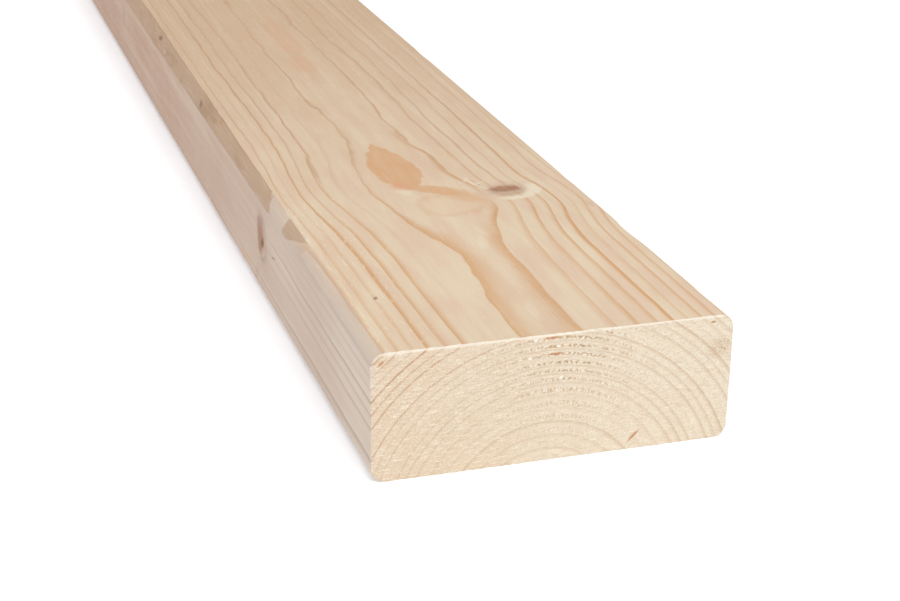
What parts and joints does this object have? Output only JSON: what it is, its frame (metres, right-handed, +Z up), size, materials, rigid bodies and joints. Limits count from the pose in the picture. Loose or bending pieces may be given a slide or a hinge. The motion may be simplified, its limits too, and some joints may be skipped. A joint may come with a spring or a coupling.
{
  "type": "timber plank",
  "caption": "Planed softwood plank of rectangular section with eased long arrises, square-sawn ends and a thin strip of wane on one upper arris.",
  "frame": {"origin": "centre of the lower broad face's footprint, on the floor the plank lies on", "axes": "+X along the length towards the butt end, +Y across the width away from the waney arris, +Z up through the thickness"},
  "size_m": [1.8, 0.125, 0.045],
  "materials": {
    "pine": "planed, unfinished"
  },
  "bodies": {
    "root": {"plank": "pine"}
  },
  "joints": []
}
